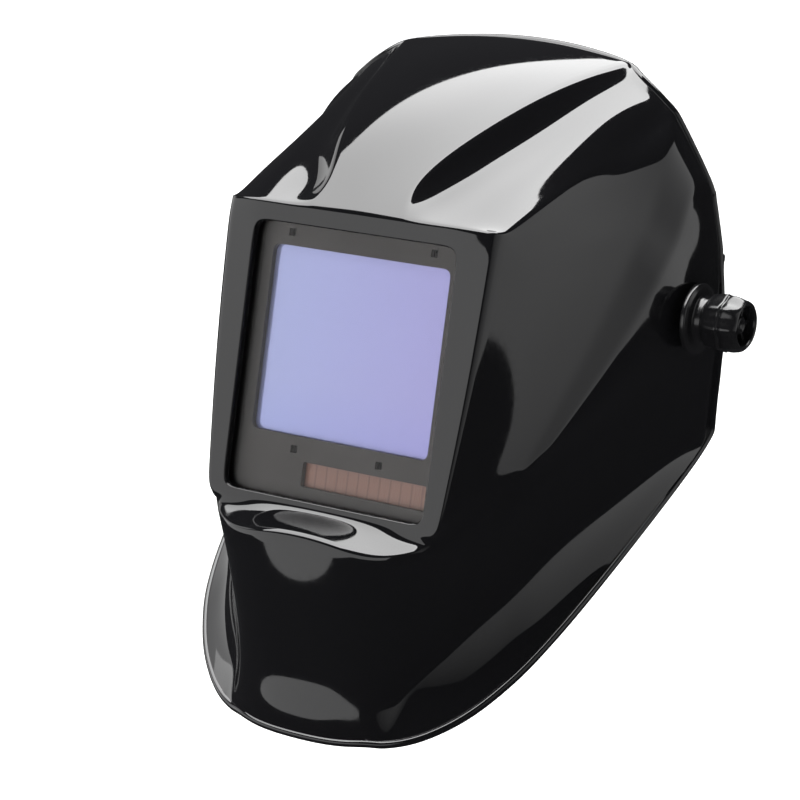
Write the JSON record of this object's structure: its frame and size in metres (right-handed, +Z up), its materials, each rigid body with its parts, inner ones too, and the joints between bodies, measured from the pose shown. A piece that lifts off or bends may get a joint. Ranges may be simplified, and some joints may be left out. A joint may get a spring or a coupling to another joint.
{
  "type": "welding helmet",
  "caption": "Glossy black auto-darkening welding helmet: hood shell with a large framed filter window, pivoting on side tension knobs over a ratchet headgear.",
  "frame": {"origin": "midpoint of the flip-up axis, on the line through both tension knobs, where the head carries the helmet", "axes": "+Z up, -Y the way the wearer looks, +X to the wearer's left, along the flip-up axis"},
  "size_m": [0.282, 0.3204, 0.2904],
  "materials": {
    "gloss_shell": "deep glossy black nylon, smooth moulded",
    "clear_lens": "clear polycarbonate",
    "filter": "lilac blue coated welding filter",
    "solar": "brown amorphous solar cell under clear cover",
    "sensor": "dark photodiode lens",
    "housing": "dark grey moulded housing",
    "satin_black": "satin black moulded plastic",
    "board": "green circuit board",
    "steel": "zinc plated steel",
    "washer": "fibre friction washer",
    "headband": "black flexible polyethylene strap",
    "foam": "black towelling faced foam"
  },
  "bodies": {
    "headgear": {"browband": "headband", "sweatband": "foam", "side_bracket_left": "headband", "side_bracket_right": "headband", "crown_strap_left": "headband", "crown_strap_right": "headband", "band_keeper_left": "satin_black", "band_keeper_right": "satin_black"},
    "rear_size": {"rear_strap_left": "headband", "rear_strap_right": "headband", "ratchet_housing": "satin_black", "rear_pad": "foam"},
    "ratchet_turn": {"ratchet_knob": "satin_black", "ratchet_pinion": "satin_black"},
    "reach_left": {"reach_slider_left": "satin_black", "pivot_stud_left": "steel"},
    "reach_right": {"reach_slider_right": "satin_black", "pivot_stud_right": "steel"},
    "tension_left": {"tension_knob_left": "satin_black"},
    "tension_right": {"tension_knob_right": "satin_black"},
    "shell": {"helmet_shell": "gloss_shell", "front_cover_lens": "clear_lens", "filter_housing_front": "housing", "filter_housing_rear": "housing", "filter_glass": "filter", "solar_cell": "solar", "arc_sensor_1": "sensor", "arc_sensor_2": "sensor", "arc_sensor_3": "sensor", "arc_sensor_4": "sensor", "circuit_board": "board", "battery_left": "steel", "battery_right": "steel", "inside_cover_lens": "clear_lens", "cartridge_retainer": "satin_black", "retainer_screw_1": "steel", "retainer_screw_2": "steel", "retainer_screw_3": "steel", "retainer_screw_4": "steel", "pivot_collar_left": "satin_black", "pivot_collar_right": "satin_black", "friction_washer_left": "washer", "friction_washer_right": "washer"},
    "shade": {"shade_dial": "satin_black"},
    "sensitivity": {"sensitivity_dial": "satin_black"},
    "delay": {"delay_dial": "satin_black"},
    "test": {"test_button": "satin_black"},
    "latch": {"retainer_latch": "satin_black"},
    "cap_left": {"battery_cap_left": "satin_black"},
    "cap_right": {"battery_cap_right": "satin_black"}
  },
  "joints": [
    {"name": "helmet_flip", "type": "hinge", "parent": "reach_left", "child": "shell", "pos_m": [0, 0, 0], "axis": [-1, 0, 0], "range_deg": [-13.3, 55]},
    {"name": "reach_adjust_left", "type": "slide", "parent": "headgear", "child": "reach_left", "axis": [0, 1, 0], "range_m": [-0.01, 0.01]},
    {"name": "reach_adjust_right", "type": "slide", "parent": "headgear", "child": "reach_right", "axis": [0, 1, 0], "range_m": [-0.01, 0.01]},
    {"name": "tension_turn_left", "type": "hinge", "parent": "reach_left", "child": "tension_left", "pos_m": [0.13, 0, 0], "axis": [1, 0, 0], "range_deg": [-180, 180]},
    {"name": "tension_turn_right", "type": "hinge", "parent": "reach_right", "child": "tension_right", "pos_m": [-0.13, 0, 0], "axis": [1, 0, 0], "range_deg": [-180, 180]},
    {"name": "band_size", "type": "slide", "parent": "headgear", "child": "rear_size", "axis": [0, 1, 0], "range_m": [-0.012, 0.01]},
    {"name": "ratchet_turn", "type": "hinge", "parent": "rear_size", "child": "ratchet_turn", "pos_m": [0, 0.15, -0.044], "axis": [0, 1, 0], "range_deg": [-100, 120]},
    {"name": "shade_setting", "type": "hinge", "parent": "shell", "child": "shade", "pos_m": [0, -0.10364, -0.0712], "axis": [0, 0.973, -0.2307], "range_deg": [-135, 135]},
    {"name": "sensitivity_setting", "type": "hinge", "parent": "shell", "child": "sensitivity", "pos_m": [-0.017, -0.1041, -0.07315], "axis": [0, 0.973, -0.2307], "range_deg": [-135, 135]},
    {"name": "delay_setting", "type": "hinge", "parent": "shell", "child": "delay", "pos_m": [0.017, -0.1041, -0.07315], "axis": [0, 0.973, -0.2307], "range_deg": [-135, 135]},
    {"name": "test_press", "type": "slide", "parent": "shell", "child": "test", "axis": [0, -0.973, 0.2307], "range_m": [0, 0.0012], "stiffness_N_per_m": 600},
    {"name": "latch_lift", "type": "slide", "parent": "shell", "child": "latch", "axis": [0, 0.2307, 0.973], "range_m": [0, 0.004], "stiffness_N_per_m": 300},
    {"name": "battery_cap_turn_left", "type": "hinge", "parent": "shell", "child": "cap_left", "pos_m": [0.0385, -0.10461, -0.07097], "axis": [0, 0.973, -0.2307], "range_deg": [-60, 0]},
    {"name": "battery_cap_turn_right", "type": "hinge", "parent": "shell", "child": "cap_right", "pos_m": [-0.0385, -0.10461, -0.07097], "axis": [0, 0.973, -0.2307], "range_deg": [-60, 0]}
  ],
  "couplings": [
    {"joint": "reach_adjust_right", "follows": "reach_adjust_left", "ratio": 1},
    {"joint": "ratchet_turn", "follows": "band_size", "rad_per_m": -166.67}
  ]
}
